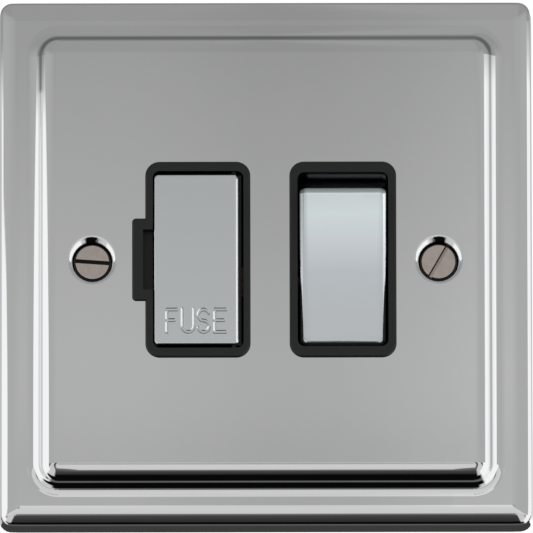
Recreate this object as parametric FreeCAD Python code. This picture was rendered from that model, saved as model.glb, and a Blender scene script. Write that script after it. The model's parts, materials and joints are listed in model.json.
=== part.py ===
import FreeCAD, Part
import math
import os

# Switched fused connection unit, in millimetres.
# X is right, Z is up, Y goes into the wall. The origin is the middle of the plate on the wall plane.

# Front plate, one pressed sheet
plate_size = 93.0
plate_sheet = 1.0
frame_height = 6.8
step_rise = 3.0
roll_broad_r = 5.2
roll_broad_turn = 33.0
roll_tight_r = 1.3
skirt_draft = 3.0
frame_width = 7.3
riser_corner_r = 3.1
riser_convex_r = 3.2
riser_slope = 60.0

# Mounting screws and the dimples that take their heads
fixing_pitch = 60.3
screw_r = 1.75
screw_length = 25.0
screw_head_r = 3.0
screw_head_height = 1.2
screw_edge_r = 0.15
screw_slot = 0.7
screw_slot_depth = 0.6
screw_neck_r = 1.5
screw_neck_length = 2.0
left_slot_turn = 4.0
right_slot_turn = 60.0
dimple_mouth_r = 4.05
dimple_floor_r = 3.25
dimple_depth = 3.6
dimple_lip_r = 0.35

# Surrounds of the front moulding
surround_corner_r = 2.4
surround_end_wall = 1.6
surround_proud = 0.5
surround_edge_r = 0.3
aperture_gap = 0.1
fuse_surround_x = -11.75
fuse_surround_side = 1.15
fuse_opening_shift = 0.05
fuse_opening_width = 15.8
tab_reach = 2.3
tab_half = 7.2
tab_corner_r = 0.7
pry_slot_reach = 1.7
pry_slot_half = 5.3
pry_slot_depth = 2.6
rocker_x = 13.5
rocker_surround_side = 1.3
rocker_opening_end = 1.85
opening_corner_r = 1.2

# Moulding and housing behind the plate
flange_thickness = 2.0
flange_inset = 5.2
module_side_room = 1.65
module_end_inset = 7.0
module_corner_r = 2.0
module_wall = 1.2
parting_y = 1.0
housing_floor_y = 14.5
housing_floor = 1.5
well_back_y = 2.4

# Studs and nuts that clamp the moulding to the plate
stud_from_side = 5.6
stud_from_end = 3.6
stud_r = 1.5
nut_flats = 5.5
nut_height = 2.4
stud_beyond_nut = 0.8

# Screws that hold the rear housing
housing_screw_r = 1.25
housing_screw_head_r = 2.2
housing_screw_head = 1.2
housing_boss_r = 2.6
housing_screw_grip = 6.5
housing_screw_slot = 0.6
middle_boss_x = 0.95
middle_boss_z = 9.0
side_boss_inset = 4.2

# Rocker
rocker_tilt = 8.5
rocker_pivot_y = -0.8
rocker_face_out = 10.6
rocker_side_gap = 0.3
rocker_side_wall = 0.55
rocker_end_gap = 1.15
rocker_side_taper = 0.6
rocker_end_taper = 0.4
rocker_cap_depth = 4.8
rocker_cap_wall = 1.0
rocker_dish_r = 190.0
rocker_edge_r = 1.0
rocker_skirt_gap = 0.35
rocker_skirt_wall = 1.2
trunnion_r = 1.5
trunnion_reach = 0.9
plunger_r = 1.5
plunger_tip_out = 10.95
plunger_back_out = 2.2
plunger_travel = 0.6
plunger_boss_r = 2.3
plunger_boss_out = 6.5
plunger_nose_r = 1.2
spring_r = 1.05
spring_wire = 0.32
spring_turns = 4
spring_pitch = 0.96
spring_flats = 8

# Switch contacts
arm_pivot_back = 12.0
arm_tilt = 9.0
arm_half_length = 8.6
arm_width = 3.4
arm_thickness = 1.2
arm_front_from_pin = 1.0
arm_pin_r = 0.5
arm_pin_reach = 1.0
tip_r = 1.4
tip_height = 0.6
arm_corner_r = 0.6
tip_z = 7.0
pad_margin = 0.4
strip_thickness = 0.8
strip_width = 4.4
ear_thickness = 0.8
ear_half = 1.4
ear_gap = 0.2
cradle_half = 2.6

# Terminals
terminal_width = 7.0
terminal_length = 9.0
terminal_depth = 7.2
terminal_front_y = 5.8
terminal_end_room = 0.6
wire_bore_r = 2.1
wire_bore_depth = 8.2
wire_axis_y = 9.0
wire_entry_r = 2.4
terminal_screw_r = 1.75
terminal_screw_slot = 0.8
terminal_screw_slot_width = 0.5
terminal_screw_tip = 0.4
terminal_screw_sunk = 0.2
terminal_edge = 0.5
terminal_rib = 1.0
terminal_rib_inset = 1.0
terminal_rib_gap = 0.1
screw_hole_gap = 0.24
earth_supply_x = -12.5
live_load_x = -12.5
earth_load_x = 4.6
strip_end_gap = 0.4
strip_end_inset = 2.0
earth_leaf_inset = 2.2
earth_window_gap = 0.4
earth_run_inset = 4.8

# Fuse and its carrier
fuse_r = 3.175
fuse_length = 25.4
fuse_cap_length = 6.0
fuse_cap_wall = 0.2
hinge_from_side = 1.6
hinge_y = -8.6
hinge_pin_r = 0.6
hinge_pin_reach = 1.5
fuse_from_hinge_y = 4.8
fuse_end_gap = 0.9
cover_left_gap = 0.2
cover_right_gap = 0.6
cover_end_gap = 0.6
cover_thickness = 1.2
cover_proud = 0.4
cover_corner_r = 0.8
cover_right_edge_r = 1.1
cover_edge_r = 0.3
carrier_front = 1.0
carrier_end = 1.4
carrier_edge_step = 0.4
carrier_web_r = 1.0
shield_gap = 0.1
shield_thickness = 1.0
shield_half = 9.4
shield_from = 142.0
shield_to = 182.0
saddle_half = 4.5
saddle_wall = 1.15
saddle_mouth = 58.0
saddle_post_half = 1.5
knuckle_r = 1.2
cheek_rim = 1.6
ledge_half = 1.2
ledge_z = 11.6
contact_sheet = 0.6
contact_pad_half = 1.8
contact_margin_inner = 0.5
contact_margin_outer = 0.2

# Running and seating clearances, and how far a rib sinks into the wall that it grows from
seat_gap = 0.05
pin_gap = 0.05
bore_gap = 0.06
slide_gap = 0.2
sink = 0.2

# Levels and sizes that follow from the ones above
riser_half = plate_size / 2 - frame_width
flange_half_height = riser_half - flange_inset
module_half_height = flange_half_height - module_end_inset
terminal_inner_z = module_half_height - module_wall - terminal_end_room - terminal_length
plunger_offset = terminal_width / 2 + slide_gap + terminal_rib + terminal_rib_gap / 2
live_supply_x = rocker_x - plunger_offset
neutral_x = rocker_x + plunger_offset
module_half_width = neutral_x + terminal_width / 2 + module_side_room + module_wall
stud_x = module_half_width - stud_from_side
stud_z = flange_half_height - stud_from_end
side_boss_x = side_boss_inset - module_half_width
side_boss_z = module_half_height - side_boss_inset
earth_run_x = earth_run_inset - module_half_width
rocker_opening_width = 2 * (plunger_offset + plunger_boss_r + rocker_side_wall + rocker_side_gap)
panel_front = -(frame_height + step_rise)
panel_back = panel_front + plate_sheet
flange_back = panel_back + flange_thickness
surround_front = panel_front - surround_proud
housing_back = housing_floor_y + housing_floor
rocker_face_y = rocker_pivot_y - rocker_face_out
arm_pivot_y = rocker_pivot_y + arm_pivot_back
strip_floor_y = housing_floor_y - strip_thickness
terminal_back_y = terminal_front_y + terminal_depth
earth_leaf_z = terminal_inner_z + terminal_length - earth_leaf_inset
strip_end_z = terminal_inner_z + terminal_length - strip_end_inset
strip_front_y = terminal_front_y - strip_thickness
riser_z = terminal_inner_z - strip_end_gap - strip_thickness
cover_half_height = fuse_length / 2 + fuse_end_gap + carrier_end
fuse_opening_half = cover_half_height + cover_end_gap
surround_half_height = fuse_opening_half + surround_end_wall
fuse_surround_width = fuse_opening_width + 2 * fuse_surround_side
fuse_opening_x = fuse_surround_x + fuse_opening_shift
cover_front = panel_front - cover_proud
cover_back = cover_front + cover_thickness
cover_left = fuse_opening_x - fuse_opening_width / 2 + cover_left_gap
cover_right = fuse_opening_x + fuse_opening_width / 2 - cover_right_gap
carrier_back = cover_back + carrier_front
hinge_x = fuse_opening_x + fuse_opening_width / 2 - hinge_from_side
shield_r = hinge_x - cover_left - shield_gap
fuse_x = hinge_x - shield_r / 2
fuse_y = hinge_y + fuse_from_hinge_y
rocker_surround_width = rocker_opening_width + 2 * rocker_surround_side
rocker_opening_half = surround_half_height - rocker_opening_end
rocker_base_width = rocker_opening_width - 2 * rocker_side_gap
rocker_base_length = 2 * (rocker_opening_half - rocker_end_gap)
rocker_face_width = rocker_base_width - 2 * rocker_side_taper
rocker_face_length = rocker_base_length - 2 * rocker_end_taper
rocker_skirt_r = rocker_opening_half - rocker_skirt_gap


def vec(x, y, z):
    return FreeCAD.Vector(x, y, z)


AXIS_X = vec(1, 0, 0)
AXIS_Y = vec(0, 1, 0)
AXIS_Z = vec(0, 0, 1)


def block(x0, x1, y0, y1, z0, z1):
    return Part.makeBox(x1 - x0, y1 - y0, z1 - z0, vec(x0, y0, z0))


def rod_x(y, z, r, x0, x1):
    return Part.makeCylinder(r, x1 - x0, vec(x0, y, z), AXIS_X)


def rod_y(x, z, r, y0, y1):
    return Part.makeCylinder(r, y1 - y0, vec(x, y0, z), AXIS_Y)


def rod_z(x, y, r, z0, z1):
    return Part.makeCylinder(r, z1 - z0, vec(x, y, z0), AXIS_Z)


def prism(points, direction):
    wire = Part.makePolygon(points + [points[0]])
    return Part.Face(wire).extrude(direction)


def prism_x(outline, x0, x1):
    return prism([vec(x0, y, z) for y, z in outline], vec(x1 - x0, 0, 0))


def prism_y(outline, y0, y1):
    return prism([vec(x, y0, z) for x, z in outline], vec(0, y1 - y0, 0))


def prism_z(outline, z0, z1):
    return prism([vec(x, y, z0) for x, y in outline], vec(0, 0, z1 - z0))


def join(shapes):
    shape = shapes[0].fuse(shapes[1:]) if len(shapes) > 1 else shapes[0]
    return shape.removeSplitter()


def carve(shape, tools):
    return shape.cut(tools).removeSplitter()


def edges_along(shape, axis):
    picked = []
    for edge in shape.Edges:
        if edge.Curve.TypeId == "Part::GeomLine":
            if abs(abs(edge.tangentAt(edge.FirstParameter).dot(axis)) - 1) < 1e-6:
                picked.append(edge)
    return picked


def edges_at_y(shape, y):
    return [e for e in shape.Edges if abs(e.BoundBox.YMin - y) < 1e-5 and abs(e.BoundBox.YMax - y) < 1e-5]


def slab(x0, x1, z0, z1, corner_r, y0, y1):
    plain = block(x0, x1, y0, y1, z0, z1)
    return plain.makeFillet(corner_r, edges_along(plain, AXIS_Y))


def turned(shape, x, y, z, axis, degrees):
    copy = shape.copy()
    copy.rotate(vec(x, y, z), axis, degrees)
    return copy


def mirrored_z(shape):
    return shape.mirror(vec(0, 0, 0), AXIS_Z)


def save(name, shapes):
    solids = []
    for shape in shapes:
        solids += shape.Solids
    shape = solids[0] if len(solids) == 1 else Part.makeCompound(solids)
    shape.exportStep("parts/" + name + ".step")
    print(name, len(solids), round(sum(s.Volume for s in solids), 3), all(s.isValid() for s in solids))


# Front plate: each level is a rounded square with a shaped edge, and the sheet is the outer form
# less the same form one sheet thickness inside it.

def slope(degrees):
    return math.sin(math.radians(degrees)), math.cos(math.radians(degrees))


def arc_edge(centre, radius, from_slope, to_slope, concave=False):
    sign = -1 if concave else 1
    ends = []
    for angle in (from_slope, (from_slope + to_slope) / 2, to_slope):
        sine, cosine = slope(angle)
        ends.append(vec(centre[0] + sign * radius * sine, centre[1] - sign * radius * cosine, 0))
    return Part.Arc(ends[0], ends[1], ends[2]).toShape(), ends[0], ends[2]


def frame_edge(inset, back_y):
    broad = (0, roll_broad_r - frame_height)
    sine, cosine = slope(roll_broad_turn)
    shift = roll_broad_r - roll_tight_r
    tight = (broad[0] + shift * sine, broad[1] - shift * cosine)
    skirt = 90 - skirt_draft
    first, start, _ = arc_edge(broad, roll_broad_r - inset, 0, roll_broad_turn)
    second, _, bottom = arc_edge(tight, roll_tight_r - inset, roll_broad_turn, skirt)
    sine, cosine = slope(skirt)
    run = (back_y - bottom.y) / sine
    rim = vec(bottom.x + cosine * run, back_y, 0)
    foot = vec(0, back_y, 0)
    lines = [Part.makeLine(bottom, rim), Part.makeLine(rim, foot), Part.makeLine(foot, start)]
    return Part.Face(Part.Wire([first, second] + lines)), rim.x


def riser_edge(inset, overlap):
    sine, cosine = slope(riser_slope)
    concave_r = step_rise / (1 - cosine) - riser_convex_r
    crown = (riser_corner_r - riser_convex_r * sine, panel_front + riser_convex_r)
    middle = (riser_corner_r, panel_front + riser_convex_r * (1 - cosine))
    hollow = (middle[0] + concave_r * sine, middle[1] - concave_r * cosine)
    first, start, _ = arc_edge(crown, riser_convex_r - inset, 0, riser_slope)
    second, _, end = arc_edge(hollow, concave_r + inset, riser_slope, 0, concave=True)
    back_y = end.y + overlap
    rim = vec(end.x, back_y, 0)
    foot = vec(0, back_y, 0)
    top = vec(0, start.y, 0)
    lines = [Part.makeLine(end, rim), Part.makeLine(rim, foot), Part.makeLine(foot, top)]
    return Part.Face(Part.Wire([Part.makeLine(top, start), first, second] + lines))


def rounded_square(profile, centre):
    box = profile.BoundBox
    pieces = [block(-centre, centre, box.YMin, box.YMax, -centre, centre)]
    side = profile.copy()
    side.translate(vec(centre, 0, -centre))
    corner = profile.copy()
    corner.translate(vec(centre, 0, centre))
    for quarter in range(4):
        flank = side.extrude(vec(0, 0, 2 * centre))
        bend = corner.revolve(vec(centre, 0, centre), AXIS_Y, -90)
        pieces.append(turned(flank, 0, 0, 0, AXIS_Y, 90 * quarter))
        pieces.append(turned(bend, 0, 0, 0, AXIS_Y, 90 * quarter))
    return join(pieces)


def plate_form(inset, beyond_wall):
    _, rim_run = frame_edge(0, 0)
    frame_profile, _ = frame_edge(inset, beyond_wall)
    frame = rounded_square(frame_profile, plate_size / 2 - rim_run)
    panel = rounded_square(riser_edge(inset, plate_sheet), riser_half - riser_corner_r)
    return join([frame, panel])


def surrounds():
    return ((fuse_surround_x, fuse_surround_width), (rocker_x, rocker_surround_width))


def surround_outline(x, width, half, gap, y0, y1):
    reach = width / 2 + gap
    return slab(x - reach, x + reach, -half - gap, half + gap, surround_corner_r + gap, y0, y1)


def tab_outline(gap, y0, y1):
    edge = fuse_surround_x - fuse_surround_width / 2
    left = edge - tab_reach - gap
    right = edge + surround_corner_r
    tab = block(left, right, y0, y1, -tab_half - gap, tab_half + gap)
    outer = [e for e in edges_along(tab, AXIS_Y) if e.BoundBox.XMin < left + 0.01]
    return tab.makeFillet(tab_corner_r, outer)


def fixing_points():
    return ((-fixing_pitch / 2, left_slot_turn), (fixing_pitch / 2, -right_slot_turn))


def dimple_cone(x, y0, r0, y1, r1):
    return Part.makeCone(r0, r1, y1 - y0, vec(x, y0, 0), AXIS_Y)


def front_plate():
    sheet = plate_form(0, 0).cut(plate_form(plate_sheet, 1.0))
    floor_y = panel_front + dimple_depth
    flare = (dimple_mouth_r - dimple_floor_r) / dimple_depth
    cups = []
    hollows = []
    for x, _ in fixing_points():
        back_r = dimple_floor_r + plate_sheet - flare * plate_sheet
        cups.append(dimple_cone(x, panel_front, dimple_mouth_r + plate_sheet, floor_y + plate_sheet, back_r))
        hollows.append(dimple_cone(x, panel_front, dimple_mouth_r, floor_y, dimple_floor_r))
        hollows.append(rod_y(x, 0, screw_r + slide_gap, panel_front, floor_y + 2 * plate_sheet))
    sheet = join([sheet] + cups).cut(hollows)
    y0 = panel_front - 1
    y1 = panel_back + 1
    holes = [tab_outline(aperture_gap, y0, y1)]
    for x, width in surrounds():
        holes.append(surround_outline(x, width, surround_half_height, aperture_gap, y0, y1))
    sheet = sheet.cut(join(holes[:2])).cut(holes[2])
    lips = []
    for edge in edges_at_y(sheet, panel_front):
        if edge.Curve.TypeId == "Part::GeomCircle" and abs(edge.Curve.Radius - dimple_mouth_r) < 1e-5:
            lips.append(edge)
    return sheet.makeFillet(dimple_lip_r, lips)


def mounting_screw(x, slot_turn):
    seat_y = panel_front + dimple_depth
    top_y = seat_y - screw_head_height
    head = rod_y(x, 0, screw_head_r, top_y, seat_y)
    head = head.makeFillet(screw_edge_r, edges_at_y(head, top_y))
    neck = rod_y(x, 0, screw_neck_r, seat_y, seat_y + screw_neck_length)
    shank = rod_y(x, 0, screw_r, seat_y + screw_neck_length, seat_y + screw_length)
    shank = shank.makeChamfer(screw_r / 3, edges_at_y(shank, seat_y + screw_length))
    reach = screw_head_r + 1
    slot = block(x - reach, x + reach, top_y - 1, top_y + screw_slot_depth, -screw_slot / 2, screw_slot / 2)
    return join([head, neck, shank]).cut(turned(slot, x, 0, 0, AXIS_Y, slot_turn))


def stud_points():
    return [(sx * stud_x, sz * stud_z) for sx in (-1, 1) for sz in (-1, 1)]


def plate_studs():
    end_y = flange_back + nut_height + stud_beyond_nut
    return [rod_y(x, z, stud_r, panel_back, end_y) for x, z in stud_points()]


def hexagon(x, z, flats):
    radius = flats / math.sqrt(3)
    corners = [math.radians(60 * k) for k in range(6)]
    return [(x + radius * math.cos(a), z + radius * math.sin(a)) for a in corners]


def stud_nuts():
    nuts = []
    for x, z in stud_points():
        nut = prism_y(hexagon(x, z, nut_flats), flange_back, flange_back + nut_height)
        nuts.append(nut.cut(rod_y(x, z, stud_r + bore_gap, flange_back - 1, flange_back + nut_height + 1)))
    return nuts


# Front moulding: flange, surrounds, wells, skirt and screw bosses

def boss_points():
    middle = [(middle_boss_x, sz * middle_boss_z) for sz in (-1, 1)]
    side = [(side_boss_x, sz * side_boss_z) for sz in (-1, 1)]
    return middle + side


def raised_surround(x, width):
    back_y = flange_back
    body = surround_outline(x, width, surround_half_height, 0, surround_front, back_y)
    return body.makeFillet(surround_edge_r, edges_at_y(body, surround_front))


def raised_tab():
    tab = tab_outline(0, surround_front, flange_back)
    left = fuse_surround_x - fuse_surround_width / 2 - tab_reach
    rim = [e for e in edges_at_y(tab, surround_front) if e.BoundBox.XMin < left + tab_corner_r * 1.5]
    return tab.makeFillet(surround_edge_r, rim)


def well_hollow(x, width, half, back_y):
    return slab(x - width / 2, x + width / 2, -half, half, opening_corner_r, surround_front - 1, back_y + 1)


def module_shell(y0, y1):
    outer = slab(-module_half_width, module_half_width, -module_half_height, module_half_height,
                 module_corner_r, y0, y1)
    inner_x = module_half_width - module_wall
    inner_z = module_half_height - module_wall
    inner = slab(-inner_x, inner_x, -inner_z, inner_z, module_corner_r - module_wall, y0 - 1, y1 + 1)
    return outer.cut(inner)


def carrier_ledges():
    wall_x = fuse_opening_x - fuse_opening_width / 2
    y0 = carrier_back + seat_gap
    ledges = []
    for side in (-1, 1):
        z = side * ledge_z
        ledges.append(block(wall_x - sink, wall_x + ledge_half, y0, y0 + ledge_half,
                            z - ledge_half, z + ledge_half))
    return ledges


def front_moulding():
    flange = slab(-module_half_width, module_half_width, -flange_half_height, flange_half_height,
                  module_corner_r, panel_back, flange_back)
    solids = [flange, module_shell(flange_back, parting_y)]
    solids.append(raised_tab())
    for x, width in surrounds():
        solids.append(raised_surround(x, width))
        solids.append(surround_outline(x, width, surround_half_height, 0, flange_back, well_back_y))
    for x, z in boss_points():
        solids.append(rod_y(x, z, housing_boss_r, flange_back, parting_y))
    body = join(solids)
    tools = [well_hollow(fuse_opening_x, fuse_opening_width, fuse_opening_half, well_back_y)]
    tools.append(well_hollow(rocker_x, rocker_opening_width, rocker_opening_half, well_back_y))
    pocket_x = fuse_opening_x - fuse_opening_width / 2
    tools.append(block(pocket_x - pry_slot_reach, pocket_x + 0.1, surround_front - 1,
                       surround_front + pry_slot_depth, -pry_slot_half, pry_slot_half))
    for x, z in boss_points():
        tip_y = parting_y - housing_screw_grip
        tools.append(rod_y(x, z, housing_screw_r + bore_gap, tip_y - 1, parting_y + 1))
    for x, z in stud_points():
        tools.append(rod_y(x, z, stud_r + slide_gap, panel_back - 1, flange_back + 1))
    hole_r = trunnion_r + pin_gap
    edge = rocker_surround_width / 2 + 1
    tools.append(rod_x(rocker_pivot_y, 0, hole_r, rocker_x - edge, rocker_x + edge))
    reach = cover_half_height + hinge_pin_reach + slide_gap
    tools.append(rod_z(hinge_x, hinge_y, hinge_pin_r + pin_gap, -reach, reach))
    tools.append(earth_window())
    body = body.cut(tools)
    return join([body] + carrier_ledges())


def earth_window():
    half = strip_width / 2 + earth_window_gap
    z0 = earth_leaf_z - earth_window_gap
    z1 = earth_leaf_z + strip_thickness + earth_window_gap
    return block(earth_supply_x - half, earth_supply_x + half, panel_back - 1, flange_back + 1, z0, z1)


# Rear housing: a tray with terminal pockets, screw bosses and wire entries

def terminals():
    return {
        "supply_live": (live_supply_x, 1),
        "supply_neutral": (neutral_x, 1),
        "supply_earth": (earth_supply_x, 1),
        "load_live": (live_load_x, -1),
        "load_neutral": (neutral_x, -1),
        "load_earth": (earth_load_x, -1),
    }


def screw_z():
    return terminal_inner_z + terminal_length / 2


def rear_housing():
    floor = slab(-module_half_width, module_half_width, -module_half_height, module_half_height,
                 module_corner_r, housing_floor_y, housing_back)
    solids = [module_shell(parting_y, housing_back), floor]
    tools = []
    wall_z = module_half_height - module_wall
    for x, z in boss_points():
        solids.append(rod_y(x, z, housing_boss_r, parting_y, housing_back))
        tools.append(rod_y(x, z, housing_screw_r + slide_gap, parting_y - 1, housing_back + 1))
        tools.append(rod_y(x, z, housing_screw_head_r + slide_gap, housing_back - housing_screw_head,
                           housing_back + 1))
    head_hole = terminal_screw_r + screw_hole_gap
    for x, side in terminals().values():
        z = side * screw_z()
        collar_y = terminal_back_y + seat_gap
        solids.append(rod_y(x, z, head_hole + terminal_rib, collar_y, housing_floor_y + sink))
        tools.append(rod_y(x, z, head_hole, terminal_back_y - 1, housing_back + 1))
        tools.append(rod_z(x, wire_axis_y, wire_entry_r, wall_z - 1, module_half_height + 1) if side > 0 else
                     rod_z(x, wire_axis_y, wire_entry_r, -module_half_height - 1, 1 - wall_z))
        reach = terminal_width / 2 + slide_gap
        z0 = side * (terminal_inner_z + terminal_rib_inset)
        z1 = side * (wall_z + sink)
        for edge in (x - reach - terminal_rib, x + reach):
            if abs(edge) + terminal_rib < module_half_width - module_wall:
                front_y = terminal_front_y + terminal_rib_inset
                solids.append(block(edge, edge + terminal_rib, front_y, housing_floor_y + sink,
                                    min(z0, z1), max(z0, z1)))
    return join(solids).cut(tools).removeSplitter()


def housing_screw(x, z):
    seat_y = housing_back - housing_screw_head
    head = rod_y(x, z, housing_screw_head_r, seat_y, housing_back - seat_gap)
    shank = rod_y(x, z, housing_screw_r, parting_y - housing_screw_grip, seat_y)
    reach = housing_screw_head_r + 1
    half = housing_screw_slot / 2
    slot_y = housing_back - housing_screw_head / 2
    slot = block(x - reach, x + reach, slot_y, housing_back + 1, z - half, z + half)
    cross = turned(slot, x, 0, z, AXIS_Y, 90)
    return join([head, shank]).cut([slot, cross])


# Rocker, drawn level about its pivot and tilted to its rest position at the end

def rocker_rest(shape, body_x=0.0):
    return turned(shape, body_x, rocker_pivot_y, 0, AXIS_X, rocker_tilt)


def tapered_block(width0, length0, y0, width1, length1, y1):
    wires = []
    for width, length, y in ((width0, length0, y0), (width1, length1, y1)):
        w = width / 2
        h = length / 2
        corners = [(rocker_x - w, -h), (rocker_x + w, -h), (rocker_x + w, h), (rocker_x - w, h)]
        points = [vec(x, y, z) for x, z in corners]
        wires.append(Part.makePolygon(points + [points[0]]))
    return Part.makeLoft(wires, True, True)


def rocker_outer():
    y0 = rocker_face_y
    y1 = rocker_face_y + rocker_cap_depth
    form = tapered_block(rocker_face_width, rocker_face_length, y0, rocker_base_width, rocker_base_length, y1)
    flanks = [e for e in form.Edges if e.BoundBox.YLength > rocker_cap_depth / 2]
    form = form.makeFillet(opening_corner_r, flanks)
    form = form.cut(rocker_dish())
    rim = [e for e in form.Edges if e.BoundBox.YMax < y0 + rocker_cap_depth / 3]
    return form.makeFillet(rocker_edge_r, rim)


def rocker_dish():
    sag = rocker_face_length ** 2 / (8 * rocker_dish_r)
    centre_y = rocker_face_y + sag - rocker_dish_r
    return rod_x(centre_y, 0, rocker_dish_r, rocker_x - rocker_base_width, rocker_x + rocker_base_width)


def rocker_core(gap):
    y0 = rocker_face_y + rocker_cap_wall + gap
    y1 = rocker_face_y + rocker_cap_depth
    trim = 2 * (rocker_cap_wall + gap)
    return tapered_block(rocker_face_width - trim, rocker_face_length - trim, y0,
                         rocker_base_width - trim, rocker_base_length - trim, y1)


def rocker_cap():
    return rocker_rest(rocker_outer().cut(rocker_core(0)))


def plunger_points():
    return {"live": rocker_x - plunger_offset, "neutral": rocker_x + plunger_offset}


def rocker_skirt():
    half = rocker_base_width / 2 - slide_gap
    y0 = rocker_face_y + rocker_cap_depth
    back_y = rocker_pivot_y + trunnion_r + rocker_skirt_wall / 2
    web = plunger_boss_r + rocker_skirt_wall
    drum = rod_x(rocker_pivot_y, 0, rocker_skirt_r, rocker_x - half, rocker_x + half)
    skirt = drum.common(block(rocker_x - half, rocker_x + half, y0, back_y, -rocker_skirt_r, rocker_skirt_r))
    inner = half - rocker_skirt_wall
    far = rocker_skirt_r - 2 * rocker_skirt_wall
    hollows = []
    for z0, z1 in ((-far, -web), (web, far)):
        hollows.append(block(rocker_x - inner, rocker_x + inner, y0 + rocker_skirt_wall, back_y + 1, z0, z1))
    return skirt.cut(hollows)


def rocker_body():
    solids = [rocker_core(seat_gap), rocker_skirt()]
    reach = rocker_opening_width / 2 + trunnion_reach
    solids.append(rod_x(rocker_pivot_y, 0, trunnion_r, rocker_x - reach, rocker_x + reach))
    boss_y = rocker_pivot_y + plunger_boss_out
    for x in plunger_points().values():
        solids.append(rod_y(x, 0, plunger_boss_r, rocker_pivot_y, boss_y))
    tools = []
    for x in plunger_points().values():
        tools.append(rod_y(x, 0, plunger_r + bore_gap, spring_seat_y(), boss_y + 1))
    return rocker_rest(join(solids).cut(tools))


def spring_seat_y():
    return rocker_pivot_y + plunger_back_out - spring_length()


def spring_length():
    return spring_turns * spring_pitch + plunger_travel


def plunger(x):
    back_y = rocker_pivot_y + plunger_back_out
    tip_y = rocker_pivot_y + plunger_tip_out
    stem = rod_y(x, 0, plunger_r, back_y, tip_y)
    stem = stem.makeFillet(plunger_nose_r, edges_at_y(stem, tip_y))
    return rocker_rest(stem)


def plunger_spring(x):
    length = spring_length() - 2 * seat_gap - spring_wire
    helix = Part.makeHelix(length / spring_turns, length, spring_r)
    corners = []
    for k in range(spring_flats + 1):
        turn = math.radians(360 / spring_flats * (k % spring_flats + 0.5))
        corners.append(vec(spring_r + spring_wire / 2 * math.cos(turn), 0, spring_wire / 2 * math.sin(turn)))
    profile = Part.makePolygon(corners)
    coil = Part.Wire(helix.Edges).makePipeShell([profile], True, True)
    coil.rotate(vec(0, 0, 0), AXIS_X, -90)
    coil.translate(vec(x, spring_seat_y() + seat_gap + spring_wire / 2, 0))
    return rocker_rest(coil)


# Contact arms, drawn level about their pins and tilted to rest

def arm_rest(shape):
    return turned(shape, 0, arm_pivot_y, 0, AXIS_X, -arm_tilt)


def arm_back_y():
    return arm_pivot_y - arm_front_from_pin + arm_thickness


def contact_arm(x):
    front_y = arm_pivot_y - arm_front_from_pin
    half = arm_width / 2
    bar = slab(x - half, x + half, -arm_half_length, arm_half_length, arm_corner_r,
               front_y, front_y + arm_thickness)
    reach = half + arm_pin_reach
    pin = rod_x(arm_pivot_y, 0, arm_pin_r, x - reach, x + reach)
    return arm_rest(join([bar, pin]))


def contact_tip(x):
    y0 = arm_back_y()
    return arm_rest(rod_y(x, tip_z, tip_r, y0, y0 + tip_height))


def fixed_button(x):
    y0 = arm_back_y() + tip_height + seat_gap
    return arm_rest(rod_y(x, tip_z, tip_r, y0, y0 + tip_height))


def terminal_run(start_z):
    outer_y = strip_floor_y
    edge_z = riser_z + strip_thickness
    end_z = strip_end_z
    return [(outer_y, start_z), (housing_floor_y, start_z), (housing_floor_y, edge_z),
            (terminal_front_y, edge_z), (terminal_front_y, end_z), (strip_front_y, end_z),
            (strip_front_y, riser_z), (outer_y, riser_z)]


def fixed_contact(x):
    half = strip_width / 2
    y0 = arm_back_y() + 2 * tip_height + seat_gap
    reach = tip_r + pad_margin
    pad = block(x - half, x + half, y0, y0 + strip_thickness, tip_z - reach, tip_z + reach)
    pad = arm_rest(pad)
    low = min(v.Z for v in pad.Vertexes)
    high = max(v.Z for v in pad.Vertexes)
    back = max(v.Y for v in pad.Vertexes)
    lead = prism_x(terminal_run(high - pad_margin / 2), x - half, x + half)
    trim = block(x - half, x + half, housing_floor_y, back + 1, low - 1, high + 1)
    return join([pad, lead]).cut(trim)


def cradle_ears(x):
    inner = arm_width / 2 + ear_gap
    ears = []
    for x0 in (x - inner - ear_thickness, x + inner):
        ear = block(x0, x0 + ear_thickness, arm_pivot_y - ear_half, housing_floor_y, -ear_half, ear_half)
        ears.append(ear)
    return ears


def cradle(x, extra):
    reach = arm_width / 2 + ear_gap + ear_thickness
    base = block(x - reach, x + reach, strip_floor_y, housing_floor_y, -cradle_half, cradle_half)
    body = join([base] + cradle_ears(x) + extra)
    return body.cut(rod_x(arm_pivot_y, 0, arm_pin_r + pin_gap, x - reach - 1, x + reach + 1))


def neutral_cradle():
    half = strip_width / 2
    lead = mirrored_z(prism_x(terminal_run(cradle_half - sink), neutral_x - half, neutral_x + half))
    return cradle(neutral_x, [lead])


def fuse_pad_points():
    reach = fuse_r + seat_gap
    c = math.sqrt(0.5)
    corners = []
    for along, out in ((-1, 0), (1, 0), (1, 1), (-1, 1)):
        u = along * contact_pad_half
        v = reach + out * contact_sheet
        corners.append((fuse_x + c * (v + u), fuse_y + c * (v - u)))
    return corners


def fuse_leaf(back_y, z0, z1):
    pad = fuse_pad_points()
    foot_x = pad[2][0]
    leg = [(foot_x - contact_sheet, pad[1][1] + seat_gap), (foot_x, pad[2][1]),
           (foot_x, back_y), (foot_x - contact_sheet, back_y)]
    leaf = join([prism_z(pad, z0, z1), prism_z(leg, z0, z1)])
    return leaf, foot_x


def fuse_cap_span():
    outer = fuse_length / 2
    return outer - fuse_cap_length + contact_margin_inner, outer - contact_margin_outer


def live_cradle():
    z0, z1 = fuse_cap_span()
    leaf, foot_x = fuse_leaf(housing_floor_y, z0, z1)
    left = foot_x - strip_width / 2
    right = foot_x + strip_width / 2
    lead = block(left, right, strip_floor_y, housing_floor_y, -cradle_half, z1)
    cross = block(left, live_supply_x, strip_floor_y, housing_floor_y, -cradle_half, cradle_half)
    return cradle(live_supply_x, [leaf, lead, cross])


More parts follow.
